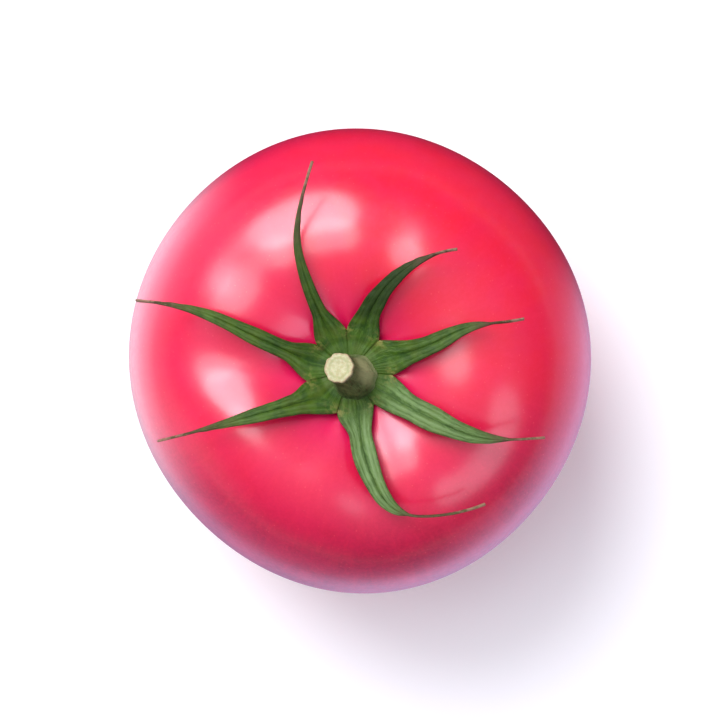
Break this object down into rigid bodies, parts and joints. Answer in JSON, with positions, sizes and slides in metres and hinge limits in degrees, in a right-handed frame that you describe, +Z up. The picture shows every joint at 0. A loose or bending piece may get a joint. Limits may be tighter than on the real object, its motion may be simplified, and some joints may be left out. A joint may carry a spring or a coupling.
{
  "type": "tomato",
  "caption": "Ripe pink tomato standing stem up: round, softly lobed fruit with a hollow for the stem, a star of narrow curling sepals and a cut stem.",
  "frame": {"origin": "on the surface that the tomato stands on, at the middle of the flat spot under the fruit, on the fruit's upright axis", "axes": "+Z up through the stem end; +X to the right and +Y away from the viewer when the tomato is seen from above, with the farthest-reaching sepal pointing to -X"},
  "size_m": [0.0782, 0.0787, 0.0628],
  "materials": {
    "skin": "gloss",
    "calyx": "matte",
    "stem": "matte",
    "sepal": "matte"
  },
  "bodies": {
    "root": {"fruit": "skin", "calyx": "calyx", "stem": "stem", "sepal_1": "sepal", "sepal_2": "sepal", "sepal_3": "sepal", "sepal_4": "sepal", "sepal_5": "sepal", "sepal_6": "sepal", "sepal_7": "sepal"}
  },
  "joints": []
}
